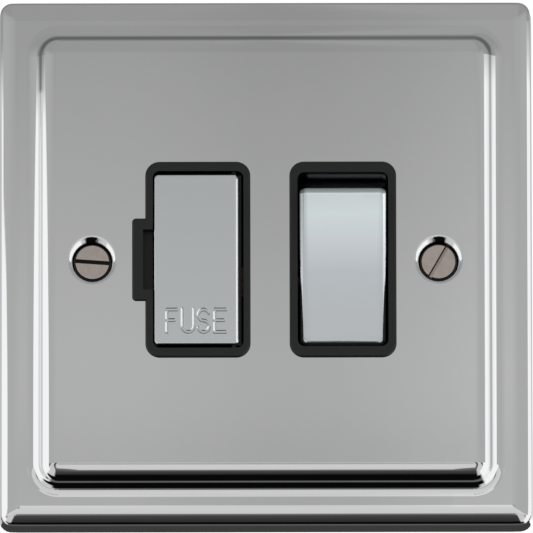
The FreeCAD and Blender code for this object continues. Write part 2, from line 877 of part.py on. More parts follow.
def load_fuse_contact():
    z0, z1 = fuse_cap_span()
    leaf, foot_x = fuse_leaf(terminal_front_y, z0, z1)
    tab = block(live_load_x - strip_width / 2, foot_x, strip_front_y, terminal_front_y, z0, strip_end_z)
    return mirrored_z(join([leaf, tab]))


def earth_strap():
    half = strip_width / 2
    edge_z = riser_z + strip_thickness
    start_z = edge_z - strip_width / 2
    top = prism_x(terminal_run(start_z), earth_supply_x - half, earth_supply_x + half)
    leaf = block(earth_supply_x - half, earth_supply_x + half, panel_back + seat_gap, terminal_front_y,
                 earth_leaf_z, earth_leaf_z + strip_thickness)
    low = mirrored_z(prism_x(terminal_run(start_z), earth_load_x - half, earth_load_x + half))
    right = earth_run_x + strip_width
    upright = block(earth_run_x, right, strip_floor_y, housing_floor_y, -edge_z, edge_z)
    over = block(earth_run_x, earth_supply_x, strip_floor_y, housing_floor_y, start_z, edge_z)
    under = block(earth_run_x, earth_load_x, strip_floor_y, housing_floor_y, -edge_z, -start_z)
    return join([top, leaf, low, upright, over, under])


# Terminals

def terminal_block(x, side):
    half = terminal_width / 2
    end_z = terminal_inner_z + terminal_length
    body = block(x - half, x + half, terminal_front_y, terminal_back_y, terminal_inner_z, end_z)
    body = body.makeChamfer(terminal_edge, edges_along(body, AXIS_Z))
    bore = rod_z(x, wire_axis_y, wire_bore_r, end_z - wire_bore_depth, end_z + 1)
    tapped = rod_y(x, screw_z(), terminal_screw_r + bore_gap, wire_axis_y, terminal_back_y + 1)
    body = body.cut([bore, tapped])
    return body if side > 0 else mirrored_z(body)


def terminal_screw(x, side):
    tip_y = wire_axis_y + wire_bore_r + seat_gap
    top_y = housing_back - terminal_screw_sunk
    z = screw_z()
    body = rod_y(x, z, terminal_screw_r, tip_y, top_y)
    body = body.makeChamfer(terminal_screw_tip, edges_at_y(body, tip_y))
    reach = terminal_screw_r + 1
    half = terminal_screw_slot_width / 2
    slot = block(x - reach, x + reach, top_y - terminal_screw_slot, top_y + 1, z - half, z + half)
    body = body.cut(slot)
    return body if side > 0 else mirrored_z(body)


# Fuse, carrier and cover

def fuse_tube():
    half = fuse_length / 2 - fuse_cap_wall - seat_gap
    return rod_z(fuse_x, fuse_y, fuse_r - fuse_cap_wall - seat_gap, -half, half)


def fuse_end_cap(side):
    outer = fuse_length / 2
    cup = rod_z(fuse_x, fuse_y, fuse_r, outer - fuse_cap_length, outer)
    end = [e for e in cup.Edges if e.BoundBox.ZMin > outer - 1e-5]
    cup = cup.makeFillet(fuse_cap_wall, end)
    open_z = outer - fuse_cap_length - 1
    cup = cup.cut(rod_z(fuse_x, fuse_y, fuse_r - fuse_cap_wall, open_z, outer - fuse_cap_wall))
    return cup if side > 0 else mirrored_z(cup)


def fuse_cover():
    cover = slab(cover_left, cover_right, -cover_half_height, cover_half_height, cover_corner_r,
                 cover_front, cover_back)
    plain = block(cover_left, cover_right, cover_front, cover_back + 1, -cover_half_height, cover_half_height)
    hinge_edge = [e for e in edges_along(plain, AXIS_Z) if e.BoundBox.XMin > cover_right - 0.01
                  and e.BoundBox.YMax < cover_front + 0.01]
    rounded = plain.makeFillet(cover_right_edge_r, hinge_edge)
    cover = cover.common(rounded)
    limit = cover_right - cover_right_edge_r - 0.01
    rim = [e for e in edges_at_y(cover, cover_front) if e.BoundBox.XMin < limit]
    return cover.makeFillet(cover_edge_r, rim)


def sector(r0, r1, from_turn, to_turn, x, y, z0, z1):
    ring = Part.makeCylinder(r1, z1 - z0, vec(x, y, z0), AXIS_Z, to_turn - from_turn)
    ring = ring.cut(Part.makeCylinder(r0, z1 - z0, vec(x, y, z0), AXIS_Z))
    return turned(ring, x, y, 0, AXIS_Z, from_turn)


def carrier_end_wall():
    front_turn = 180 + math.degrees(math.asin((hinge_y - cover_back) / shield_r))
    z0 = cover_half_height - carrier_end
    foot = vec(hinge_x, hinge_y, z0)
    wedge = Part.makeCylinder(shield_r, carrier_end, foot, AXIS_Z, front_turn - shield_from)
    wedge = turned(wedge, hinge_x, hinge_y, 0, AXIS_Z, shield_from)
    limit = block(cover_left, cover_right, cover_back, hinge_y + shield_r, z0, cover_half_height)
    reach = fuse_r + cheek_rim
    cheek = rod_z(fuse_x, fuse_y, reach, z0, cover_half_height)
    knuckle = rod_z(hinge_x, hinge_y, knuckle_r, z0, cover_half_height)
    web = prism_z([(fuse_x, cover_back), (cover_right - 2 * slide_gap, cover_back),
                   (hinge_x + hinge_pin_r, hinge_y + carrier_web_r),
                   (fuse_x + reach * 0.75, fuse_y + reach * 0.5)], z0, cover_half_height)
    return join([wedge, cheek, knuckle, web]).common(limit)


def fuse_carrier():
    half = cover_half_height
    front = block(cover_left, hinge_x + knuckle_r, cover_back, carrier_back, -half, half)
    inner_r = shield_r - shield_thickness
    shield = sector(inner_r, shield_r, shield_from, shield_to, hinge_x, hinge_y, -shield_half, shield_half)
    shield = shield.common(block(cover_left, hinge_x, cover_back, hinge_y + shield_r, -half, half))
    ring_in = fuse_r - fuse_cap_wall + bore_gap
    saddle = sector(ring_in, ring_in + saddle_wall, 90 + saddle_mouth, 450 - saddle_mouth, fuse_x, fuse_y,
                    -saddle_half, saddle_half)
    post = block(fuse_x - saddle_post_half, fuse_x + saddle_post_half, cover_back, fuse_y - ring_in,
                 -saddle_half, saddle_half)
    post = post.cut(rod_z(fuse_x, fuse_y, ring_in, -saddle_half, saddle_half))
    ends = [carrier_end_wall(), mirrored_z(carrier_end_wall())]
    pins = []
    for side in (-1, 1):
        z0 = half if side > 0 else -half - hinge_pin_reach
        pins.append(rod_z(hinge_x, hinge_y, hinge_pin_r, z0, z0 + hinge_pin_reach))
    edge = block(hinge_x - knuckle_r, cover_right - slide_gap, cover_back, carrier_back - carrier_edge_step,
                 -half, half)
    return join([front, shield, saddle, post, edge] + ends + pins)


def build():
    os.makedirs("parts", exist_ok=True)
    save("front_plate", [front_plate()])
    save("mounting_screws", [mounting_screw(x, turn) for x, turn in fixing_points()])
    save("plate_studs", plate_studs())
    save("stud_nuts", stud_nuts())
    save("front_moulding", [front_moulding()])
    save("rear_housing", [rear_housing()])
    save("housing_screws", [housing_screw(x, z) for x, z in boss_points()])
    save("rocker_cap", [rocker_cap()])
    save("rocker_body", [rocker_body()])
    for pole, x in plunger_points().items():
        save("plunger_" + pole, [plunger(x)])
        save("plunger_spring_" + pole, [plunger_spring(x)])
        save("contact_arm_" + pole, [contact_arm(x)])
        save("contact_tip_" + pole, [contact_tip(x)])
        save("fixed_contact_" + pole, [fixed_contact(x)])
    save("fixed_contact_buttons", [fixed_button(x) for x in plunger_points().values()])
    save("live_cradle", [live_cradle()])
    save("neutral_cradle", [neutral_cradle()])
    save("load_fuse_contact", [load_fuse_contact()])
    save("earth_strap", [earth_strap()])
    for name, (x, side) in terminals().items():
        save("terminal_" + name, [terminal_block(x, side)])
        save("terminal_screw_" + name, [terminal_screw(x, side)])
    save("fuse_tube", [fuse_tube()])
    save("fuse_end_caps", [fuse_end_cap(1), fuse_end_cap(-1)])
    save("fuse_cover", [fuse_cover()])
    save("fuse_carrier", [fuse_carrier()])


build()
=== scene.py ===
import json
import math

import bmesh
import bpy
from mathutils import Matrix, Vector


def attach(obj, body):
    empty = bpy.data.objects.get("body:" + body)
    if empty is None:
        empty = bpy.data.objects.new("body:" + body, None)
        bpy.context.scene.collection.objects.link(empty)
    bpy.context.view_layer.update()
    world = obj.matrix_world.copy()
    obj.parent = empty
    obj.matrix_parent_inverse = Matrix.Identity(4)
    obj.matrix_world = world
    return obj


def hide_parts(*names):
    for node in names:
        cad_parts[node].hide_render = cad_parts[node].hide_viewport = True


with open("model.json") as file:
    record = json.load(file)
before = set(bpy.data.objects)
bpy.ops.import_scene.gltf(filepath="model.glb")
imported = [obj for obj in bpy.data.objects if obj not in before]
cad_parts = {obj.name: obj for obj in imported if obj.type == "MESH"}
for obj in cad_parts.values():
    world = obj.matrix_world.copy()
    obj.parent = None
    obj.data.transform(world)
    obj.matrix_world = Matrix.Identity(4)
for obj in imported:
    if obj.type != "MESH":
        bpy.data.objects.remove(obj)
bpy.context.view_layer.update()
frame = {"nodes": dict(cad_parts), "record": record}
MM = 0.001
PANEL_Y = -9.8 * MM
SCREW_TOP = -7.4 * MM
SCREW_X = 30.15 * MM
RIGHT_SLOT_TURN = 60.0
DIMPLE_REACH = 4.5 * MM
FLARE_SHARE = 0.8
RISER_ZONE = (37 * MM, 42 * MM)
RISER_SHIFT = (0.04 * MM, 0.32 * MM)
RISER_BEND = 36.1 * MM
SHADE_FROM = (29.2 * MM, 30.2 * MM)
CROWN_AT, CROWN_REACH, CROWN_EASE = 36.65, 0.9, 0.069
CROWN_FADE = (32.5 * MM, 36.1 * MM)
FOOT_AT, FOOT_REACH, FOOT_EASE = 41.62, 1.4, -0.1125
ROLL_AT, ROLL_REACH, ROLL_EASE = 42.93, 1.6, 0.0365


# Material helpers

def linear(level):
    value = level / 255
    return value / 12.92 if value <= 0.04045 else ((value + 0.055) / 1.055) ** 2.4


def node(tree, kind, **settings):
    made = tree.nodes.new(kind)
    for name, value in settings.items():
        setattr(made, name, value)
    return made


def feed(tree, target, source):
    if hasattr(source, "is_output"):
        tree.links.new(target, source)
    else:
        target.default_value = source


def calc(tree, operation, *values):
    made = node(tree, "ShaderNodeMath", operation=operation)
    for index, value in enumerate(values):
        feed(tree, made.inputs[index], value)
    return made.outputs[0]


def ramp(tree, source, stops, interpolation="LINEAR"):
    made = node(tree, "ShaderNodeValToRGB")
    made.color_ramp.interpolation = interpolation
    elements = made.color_ramp.elements
    while len(elements) < len(stops):
        elements.new(1.0)
    for element, (place, colour) in zip(elements, stops):
        element.position = place
        element.color = (*colour, 1.0) if isinstance(colour, tuple) else (colour, colour, colour, 1.0)
    tree.links.new(made.inputs[0], source)
    return made.outputs[0]


def spread(tree, source, low, high, to_low, to_high):
    made = node(tree, "ShaderNodeMapRange")
    feed(tree, made.inputs["Value"], source)
    for name, value in (("From Min", low), ("From Max", high), ("To Min", to_low), ("To Max", to_high)):
        made.inputs[name].default_value = value
    return made.outputs["Result"]


def place(tree, stretch=(1, 1, 1)):
    coordinate = node(tree, "ShaderNodeTexCoord").outputs["Object"]
    mapping = node(tree, "ShaderNodeMapping")
    mapping.inputs["Scale"].default_value = stretch
    tree.links.new(mapping.inputs["Vector"], coordinate)
    return mapping.outputs["Vector"]


def noise(tree, vector, size_mm, detail=2.0, rough=0.5):
    made = node(tree, "ShaderNodeTexNoise")
    tree.links.new(made.inputs["Vector"], vector)
    made.inputs["Scale"].default_value = 1 / (size_mm * MM)
    made.inputs["Detail"].default_value = detail
    made.inputs["Roughness"].default_value = rough
    return made.outputs["Fac"]


def bump(tree, height, depth_mm, strength=1.0, normal=None):
    made = node(tree, "ShaderNodeBump")
    made.inputs["Strength"].default_value = strength
    made.inputs["Distance"].default_value = depth_mm * MM
    tree.links.new(made.inputs["Height"], height)
    if normal is not None:
        tree.links.new(made.inputs["Normal"], normal)
    return made.outputs["Normal"]


def start(name, metallic=0.0, specular=0.5, coat=0.0):
    material = bpy.data.materials.new(name)
    material.use_nodes = True
    tree = material.node_tree
    tree.nodes.clear()
    shader = node(tree, "ShaderNodeBsdfPrincipled")
    shader.inputs["Metallic"].default_value = metallic
    shader.inputs["Specular IOR Level"].default_value = specular
    shader.inputs["Coat Weight"].default_value = coat
    output = node(tree, "ShaderNodeOutputMaterial")
    tree.links.new(output.inputs["Surface"], shader.outputs["BSDF"])
    return material, tree, shader


def blend_colour(tree, factor, first, second):
    made = node(tree, "ShaderNodeMix", data_type="RGBA")
    feed(tree, made.inputs["Factor"], factor)
    for socket, colour in (("A", first), ("B", second)):
        target = [i for i in made.inputs if i.name == socket and i.type == "RGBA"][0]
        feed(tree, target, (*colour, 1.0) if isinstance(colour, tuple) else colour)
    return [o for o in made.outputs if o.type == "RGBA"][0]


def metal(name, light, dark, rough, grain_mm, stretch=(1, 1, 1), depth_mm=0.004, wave_mm=0.0, wave_depth=0.0):
    material, tree, shader = start(name, metallic=1.0)
    vector = place(tree, stretch)
    broad = noise(tree, vector, grain_mm * 8, 3)
    fine = noise(tree, vector, grain_mm, 4)
    tree.links.new(shader.inputs["Base Color"], blend_colour(tree, broad, dark, light))
    tree.links.new(shader.inputs["Roughness"], spread(tree, fine, 0.3, 0.7, rough[0], rough[1]))
    normal = bump(tree, fine, depth_mm, 0.5)
    if wave_depth:
        wave = noise(tree, place(tree), wave_mm, 1)
        normal = bump(tree, wave, wave_depth, 1.0, normal)
    tree.links.new(shader.inputs["Normal"], normal)
    return material


def plastic(name, light, dark, rough, grain_mm, depth_mm=0.006, specular=0.5):
    material, tree, shader = start(name, specular=specular)
    vector = place(tree)
    broad = noise(tree, vector, grain_mm * 12, 3)
    fine = noise(tree, vector, grain_mm, 5, 0.6)
    tree.links.new(shader.inputs["Base Color"], blend_colour(tree, broad, dark, light))
    tree.links.new(shader.inputs["Roughness"], spread(tree, fine, 0.3, 0.7, rough[0], rough[1]))
    tree.links.new(shader.inputs["Normal"], bump(tree, fine, depth_mm, 0.6))
    return material


def polished_plate():
    material, tree, shader = start("polished_plate", metallic=1.0)
    vector = place(tree)
    geometry = node(tree, "ShaderNodeNewGeometry")
    facing = node(tree, "ShaderNodeSeparateXYZ")
    tree.links.new(facing.inputs[0], geometry.outputs["True Normal"])
    back = calc(tree, "GREATER_THAN", facing.outputs["Y"], 0.35)
    smear = noise(tree, place(tree, (1, 1, 0.35)), 9, 4, 0.6)
    fine = noise(tree, vector, 0.35, 3)
    bright = blend_colour(tree, smear, (0.76, 0.765, 0.775), (0.79, 0.79, 0.795))
    depth, in_dimple = dimple_places(tree)
    # Painted reflection and shade: the steep step round the panel is darkened in the base colour, standing in for the
    # dark bands it reflects
    shade, right_riser_shade = riser_shades(tree, facing)
    bright = blend_colour(tree, right_riser_shade, bright, (0.43, 0.433, 0.437))
    bright = blend_colour(tree, shade, bright, (0.35, 0.352, 0.357))
    # Painted shade: deep in the hollow round each screw the base colour goes near black
    painted_recess_shade = calc(tree, "MULTIPLY", in_dimple, spread(tree, depth, 2.0 * MM, 2.4 * MM, 0, 0.97))
    bright = blend_colour(tree, painted_recess_shade, bright, (0.015, 0.014, 0.013))
    raw = noise(tree, place(tree, (0.2, 1, 1)), 0.6, 5)
    raw_colour = blend_colour(tree, raw, (0.42, 0.41, 0.40), (0.55, 0.54, 0.52))
    tree.links.new(shader.inputs["Base Color"], blend_colour(tree, back, bright, raw_colour))
    polish = spread(tree, smear, 0.35, 0.75, 0.022, 0.05)
    dull = spread(tree, raw, 0.3, 0.7, 0.32, 0.45)
    rough = calc(tree, "ADD", calc(tree, "MULTIPLY", polish, calc(tree, "SUBTRACT", 1.0, back)),
                 calc(tree, "MULTIPLY", dull, back))
    tree.links.new(shader.inputs["Roughness"], rough)
    wave = noise(tree, vector, 30, 1)
    normal = bump(tree, wave, 0.02, 0.5)
    normal = bump(tree, fine, 0.0006, 0.3, normal)
    flare = calc(tree, "MULTIPLY", in_dimple, calc(tree, "MULTIPLY", depth, FLARE_SHARE / MM))
    normal = bump(tree, calc(tree, "ADD", flare, lower_easing(tree)), 1.0, 1.0, normal)
    tree.links.new(shader.inputs["Normal"], normal)
    return material


def riser_places(tree):
    parts = node(tree, "ShaderNodeSeparateXYZ")
    tree.links.new(parts.inputs[0], node(tree, "ShaderNodeTexCoord").outputs["Object"])
    x = calc(tree, "SUBTRACT", parts.outputs["X"], RISER_SHIFT[0])
    z = calc(tree, "SUBTRACT", parts.outputs["Z"], RISER_SHIFT[1])
    over = [calc(tree, "MAXIMUM", calc(tree, "SUBTRACT", calc(tree, "ABSOLUTE", v), RISER_BEND), 0.0) for v in (x, z)]
    reach = calc(tree, "SQRT", calc(tree, "ADD", calc(tree, "MULTIPLY", over[0], over[0]),
                                    calc(tree, "MULTIPLY", over[1], over[1])))
    share = calc(tree, "DIVIDE", over[1], calc(tree, "MAXIMUM", reach, 0.001 * MM))
    downward = calc(tree, "MULTIPLY", share, calc(tree, "LESS_THAN", z, 0.0))
    return x, z, calc(tree, "ADD", reach, RISER_BEND), downward


# Masks for the painted shade on the plate's steep step: where it faces up, at its top left, and where it faces right
def riser_shades(tree, facing):
    x, z, out, downward = riser_places(tree)
    zone = calc(tree, "MULTIPLY", calc(tree, "GREATER_THAN", out, RISER_ZONE[0]),
                calc(tree, "LESS_THAN", out, RISER_ZONE[1]))
    nx, ny, nz = facing.outputs
    lean = calc(tree, "SQRT", calc(tree, "ADD", calc(tree, "MULTIPLY", nx, nx), calc(tree, "MULTIPLY", nz, nz)))
    steep = calc(tree, "MULTIPLY", zone, spread(tree, lean, 0.7, 0.78, 0, 1))
    upward = spread(tree, nz, 0.05, 0.3, 0, 1)
    left_top = calc(tree, "MULTIPLY", calc(tree, "LESS_THAN", x, 0.0), spread(tree, z, SHADE_FROM[0], SHADE_FROM[1], 0, 1))
    shade = calc(tree, "MULTIPLY", steep, calc(tree, "MAXIMUM", upward, left_top))
    right = calc(tree, "MULTIPLY", zone, spread(tree, nx, 0.72, 0.8, 0, 1))
    return shade, right


def lower_easing(tree):
    x, z, out, downward = riser_places(tree)
    crown = spread(tree, z, -(CROWN_AT + CROWN_REACH) * MM, -CROWN_AT * MM, CROWN_REACH, 0)
    foot = spread(tree, out, (FOOT_AT - FOOT_REACH) * MM, FOOT_AT * MM, FOOT_REACH, 0)
    straight = spread(tree, calc(tree, "ABSOLUTE", x), CROWN_FADE[0], CROWN_FADE[1], CROWN_EASE, 0)
    crown = calc(tree, "MULTIPLY", calc(tree, "MULTIPLY", crown, crown), straight)
    foot = calc(tree, "MULTIPLY", calc(tree, "MULTIPLY", foot, foot), FOOT_EASE)
    riser = calc(tree, "ADD", crown, calc(tree, "MULTIPLY", foot, downward))
    low = calc(tree, "ADD", z, RISER_SHIFT[1])
    roll = spread(tree, low, -(ROLL_AT + ROLL_REACH) * MM, -ROLL_AT * MM, ROLL_REACH, 0)
    return calc(tree, "ADD", riser, calc(tree, "MULTIPLY", calc(tree, "MULTIPLY", roll, roll), ROLL_EASE))


def dimple_places(tree):
    parts = node(tree, "ShaderNodeSeparateXYZ")
    tree.links.new(parts.inputs[0], node(tree, "ShaderNodeTexCoord").outputs["Object"])
    across = calc(tree, "SUBTRACT", calc(tree, "ABSOLUTE", parts.outputs["X"]), SCREW_X)
    away = calc(tree, "SQRT", calc(tree, "ADD", calc(tree, "MULTIPLY", across, across),
                                   calc(tree, "MULTIPLY", parts.outputs["Z"], parts.outputs["Z"])))
    depth = calc(tree, "SUBTRACT", parts.outputs["Y"], PANEL_Y)
    return depth, calc(tree, "LESS_THAN", away, DIMPLE_REACH)


def nickel_screw():
    material, tree, shader = start("nickel_screw", metallic=1.0)
    coordinate = node(tree, "ShaderNodeTexCoord").outputs["Object"]
    parts = node(tree, "ShaderNodeSeparateXYZ")
    tree.links.new(parts.inputs[0], coordinate)
    # Painted shade: below the head's top face the left screw goes near black; on the right screw so do the head's sides
    # and one side of the slot, the other side only a little
    sunk = spread(tree, parts.outputs["Y"], SCREW_TOP + 0.01 * MM, SCREW_TOP + 0.12 * MM, 0, 1)
    left = calc(tree, "LESS_THAN", parts.outputs["X"], 0.0)
    turn = math.radians(RIGHT_SLOT_TURN)
    along_x = calc(tree, "MULTIPLY", calc(tree, "SUBTRACT", parts.outputs["X"], SCREW_X), -math.sin(turn))
    across = calc(tree, "ADD", along_x, calc(tree, "MULTIPLY", parts.outputs["Z"], math.cos(turn)))
    flank = spread(tree, calc(tree, "ABSOLUTE", across), 0.4 * MM, 0.5 * MM, 0, 1)
    right = calc(tree, "MAXIMUM", flank, spread(tree, across, 0.05 * MM, 0.2 * MM, 0.25, 0.97))
    painted_recess_shade = calc(tree, "MULTIPLY", sunk, calc(tree, "MAXIMUM", calc(tree, "MULTIPLY", left, 0.97), right))
    broad = noise(tree, coordinate, 1.2, 3)
    fine = noise(tree, coordinate, 0.2, 4)
    unshaded_colour = blend_colour(tree, broad, (0.50, 0.435, 0.39), (0.66, 0.59, 0.54))
    tree.links.new(shader.inputs["Base Color"], blend_colour(tree, painted_recess_shade, unshaded_colour, (0.02, 0.018, 0.016)))
    tree.links.new(shader.inputs["Roughness"], spread(tree, fine, 0.3, 0.7, 0.16, 0.3))
    tree.links.new(shader.inputs["Normal"], bump(tree, fine, 0.004, 0.5))
    return material


ROCKER_X = 13.5 * MM
CAP_HALF, CAP_TAPER = 7.37 * MM, 0.0234
CAP_TOP, CAP_BOTTOM = 13.3 * MM, -13.6 * MM
CAP_END = 12.2 * MM
# Painted light on the rocker cap: by height, how much darker it is near its sides, and the base colour from grey at the
# bottom to bluish white at the top
CAP_EDGE_SHADE = [(-9.4, 0.95), (-2.4, 0.9), (2.8, 0.78), (8.0, 0.68), (10.0, 0.66)]
CAP_PAINTED_LIGHT = [(-9.4, (0.60, 0.63, 0.645)), (-2.4, (0.62, 0.666, 0.70)), (2.8, (0.763, 0.807, 0.843)), (8.0, (0.89, 0.98, 1.0)),
             (10.0, (0.91, 0.99, 1.0))]


def rounding(tree, distance, reach, depth):
    rest = calc(tree, "SUBTRACT", 1.0, spread(tree, distance, 0, reach * MM, 0, 1))
    return calc(tree, "MULTIPLY", calc(tree, "MULTIPLY", rest, rest), -depth * MM)


def rocker_chrome():
    material, tree, shader = start("rocker_chrome", metallic=1.0)
    coordinate = node(tree, "ShaderNodeTexCoord").outputs["Object"]
    parts = node(tree, "ShaderNodeSeparateXYZ")
    tree.links.new(parts.inputs[0], coordinate)
    x, y, z = parts.outputs
    low, high = CAP_PAINTED_LIGHT[0][0], CAP_PAINTED_LIGHT[-1][0]
    stops = [((height - low) / (high - low), colour) for height, colour in CAP_PAINTED_LIGHT]
    fine = noise(tree, coordinate, 0.08, 4)
    facing = node(tree, "ShaderNodeSeparateXYZ")
    tree.links.new(facing.inputs[0], node(tree, "ShaderNodeNewGeometry").outputs["True Normal"])
    # Painted reflection and shade: colour by height, faces turned left darker, bands along the sides and at the top end
    # darker
    left = spread(tree, facing.outputs["X"], -0.4, -0.15, 1, 0)
    painted_light_by_height = ramp(tree, spread(tree, z, low * MM, high * MM, 0, 1), stops)
    half = calc(tree, "ADD", calc(tree, "MULTIPLY", z, CAP_TAPER), CAP_HALF)
    side = calc(tree, "SUBTRACT", half, calc(tree, "ABSOLUTE", calc(tree, "SUBTRACT", x, ROCKER_X)))
    low_share, high_share = CAP_EDGE_SHADE[0][0], CAP_EDGE_SHADE[-1][0]
    shares = [((height - low_share) / (high_share - low_share), share) for height, share in CAP_EDGE_SHADE]
    edge = ramp(tree, spread(tree, z, low_share * MM, high_share * MM, 0, 1), shares)
    on_left = spread(tree, calc(tree, "SUBTRACT", x, ROCKER_X), -0.5 * MM, 0.5 * MM, 1, 0.5)
    near_side = calc(tree, "MULTIPLY", on_left, spread(tree, side, 0.7 * MM, 1.5 * MM, 1, 0))
    shade = blend_colour(tree, near_side, (1.0, 1.0, 1.0), edge)
    near_top = spread(tree, calc(tree, "SUBTRACT", CAP_END, z), 0, 1.25 * MM, 0.42, 1)
    shade = blend_colour(tree, near_top, (0.0, 0.0, 0.0), shade)
    shaded = node(tree, "ShaderNodeMix", data_type="RGBA", blend_type="MULTIPLY")
    shaded.inputs[0].default_value = 1.0
    tree.links.new(shaded.inputs[6], blend_colour(tree, left, painted_light_by_height, (0.55, 0.58, 0.6)))
    tree.links.new(shaded.inputs[7], shade)
    tree.links.new(shader.inputs["Base Color"], shaded.outputs[2])
    tree.links.new(shader.inputs["Roughness"], spread(tree, fine, 0.3, 0.7, 0.13, 0.17))
    sides = rounding(tree, side, 1.8, 0.12)
    top = rounding(tree, calc(tree, "SUBTRACT", CAP_TOP, z), 2.4, 0.45)
    bottom = rounding(tree, calc(tree, "SUBTRACT", z, CAP_BOTTOM), 1.8, 0.05)
    pillow = calc(tree, "ADD", calc(tree, "ADD", sides, top), bottom)
    normal = bump(tree, calc(tree, "DIVIDE", pillow, MM), 1.0, 1.0)
    tree.links.new(shader.inputs["Normal"], bump(tree, fine, 0.0008, 0.5, normal))
    return material


# Painted reflection: a pale bluish band on the down-facing top wall of the rocker's well, over a few millimetres of
# depth
WELL_X = (7.2 * MM, 21.4 * MM)
WELL_PAINTED_REFLECTION = [(-8.8, 0.0), (-7.6, 0.5), (-6.6, 1.0), (-5.2, 1.0), (-3.9, 0.3), (-2.6, 0.0)]


def front_black():
    material = plastic("front_black", (0.009, 0.010, 0.010), (0.006, 0.007, 0.007), (0.3, 0.42), 0.12, 0.004, 0.34)
    tree = material.node_tree
    shader = [n for n in tree.nodes if n.type == "BSDF_PRINCIPLED"][0]
    plain = shader.inputs["Base Color"].links[0].from_socket
    parts = node(tree, "ShaderNodeSeparateXYZ")
    tree.links.new(parts.inputs[0], node(tree, "ShaderNodeTexCoord").outputs["Object"])
    facing = node(tree, "ShaderNodeSeparateXYZ")
    tree.links.new(facing.inputs[0], node(tree, "ShaderNodeNewGeometry").outputs["True Normal"])
    x, y, z = parts.outputs
    # Painted reflection on the well's top wall, faded in and out with depth
    low, high = WELL_PAINTED_REFLECTION[0][0], WELL_PAINTED_REFLECTION[-1][0]
    glow = ramp(tree, spread(tree, y, low * MM, high * MM, 0, 1), [((d - low) / (high - low), v) for d, v in WELL_PAINTED_REFLECTION])
    inside = calc(tree, "MULTIPLY", spread(tree, x, WELL_X[0], WELL_X[0] + 0.4 * MM, 0, 1), calc(tree, "LESS_THAN", x, WELL_X[1]))
    wall = calc(tree, "MULTIPLY", calc(tree, "LESS_THAN", facing.outputs["Z"], -0.8), calc(tree, "GREATER_THAN", z, 12 * MM))
    amount = calc(tree, "MULTIPLY", calc(tree, "MULTIPLY", inside, wall), glow)
    tree.links.new(shader.inputs["Base Color"], blend_colour(tree, amount, plain, (0.78, 0.9, 1.0)))
    return material


finishes = {
    "polished_plate": polished_plate(),
    "nickel_screw": nickel_screw(),
    "zinc_steel": metal("zinc_steel", (0.62, 0.64, 0.68), (0.5, 0.52, 0.55), (0.28, 0.42), 0.3),
    "black_moulding": plastic("black_moulding", (0.009, 0.010, 0.010), (0.006, 0.007, 0.007), (0.3, 0.42), 0.12, 0.004,
                              0.34),
    "black_housing": plastic("black_housing", (0.022, 0.022, 0.023), (0.015, 0.015, 0.016), (0.42, 0.58), 0.16, 0.01),
    "satin_chrome": metal("satin_chrome", (0.80, 0.83, 0.84), (0.77, 0.80, 0.81), (0.13, 0.17), 0.08, depth_mm=0.0008),
    "nylon": plastic("nylon", (0.80, 0.78, 0.70), (0.74, 0.72, 0.64), (0.38, 0.5), 0.15),
    "spring_steel": metal("spring_steel", (0.6, 0.6, 0.62), (0.5, 0.5, 0.52), (0.15, 0.28), 0.1),
    "copper_strip": metal("copper_strip", (0.62, 0.36, 0.25), (0.45, 0.25, 0.17), (0.26, 0.42), 0.3, (1, 1, 0.3)),
    "silver_contact": metal("silver_contact", (0.9, 0.89, 0.86), (0.78, 0.77, 0.74), (0.2, 0.34), 0.15),
    "brass_block": metal("brass_block", (0.82, 0.64, 0.3), (0.68, 0.5, 0.2), (0.2, 0.36), 0.3, (0.4, 1, 1)),
    "terminal_steel": metal("terminal_steel", (0.72, 0.66, 0.48), (0.58, 0.54, 0.42), (0.24, 0.38), 0.2),
    "fuse_ceramic": plastic("fuse_ceramic", (0.86, 0.84, 0.78), (0.8, 0.78, 0.72), (0.4, 0.55), 0.2),
    "fuse_caps": metal("fuse_caps", (0.82, 0.8, 0.74), (0.7, 0.68, 0.62), (0.16, 0.3), 0.25),
}
for entry in frame["record"]["subparts"]:
    piece = frame["nodes"][entry["node"]]
    piece.data.materials.clear()
    piece.data.materials.append(finishes[entry["material_slot"]])


frame["nodes"]["rocker_cap"].data.materials[0] = rocker_chrome()
frame["nodes"]["front_moulding"].data.materials[0] = front_black()


# Front plate: tight outer corners, and the step sits a little up and left of the middle

EDGE_RUN = 3.57 * MM
CORNER_R = 2.2 * MM
PLATE_HALF = 46.5 * MM


def corner_reach(turn):
    turn = min(turn, math.pi / 2 - turn)
    offset = EDGE_RUN - CORNER_R
    if math.tan(turn) * EDGE_RUN <= offset:
        return 1 / math.cos(turn)
    along = offset * (math.cos(turn) + math.sin(turn))
    return (along + math.sqrt(along * along - 2 * offset * offset + CORNER_R * CORNER_R)) / EDGE_RUN


def press(mesh):
    centre = PLATE_HALF - EDGE_RUN
    for vertex in mesh.vertices:
        x, y, z = vertex.co
        u, w = abs(x) - centre, abs(z) - centre
        out = math.hypot(max(abs(x) - RISER_BEND, 0), max(abs(z) - RISER_BEND, 0)) + RISER_BEND
        if 36.3 * MM < out < 41.7 * MM and y < -1 * MM:
            vertex.co = (x + RISER_SHIFT[0], y, z + RISER_SHIFT[1])
        if u > 1e-7 and w > 1e-7:
            reach = corner_reach(math.atan2(w, u))
            vertex.co = (math.copysign(centre + u * reach, x), y, math.copysign(centre + w * reach, z))


def reshaped(source, name, body, change):
    made = bpy.data.objects.new(name, frame["nodes"][source].data.copy())
    bpy.context.collection.objects.link(made)
    change(made.data)
    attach(made, body)
    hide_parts(source)
    return made


reshaped("front_plate", "pressed_front_plate", "plate_and_housing", press)


# Rocker cap: the face is nearly as wide as the base of the cap

FACE_TAPER = 0.6 * MM
FACE_WIDER = 1.07


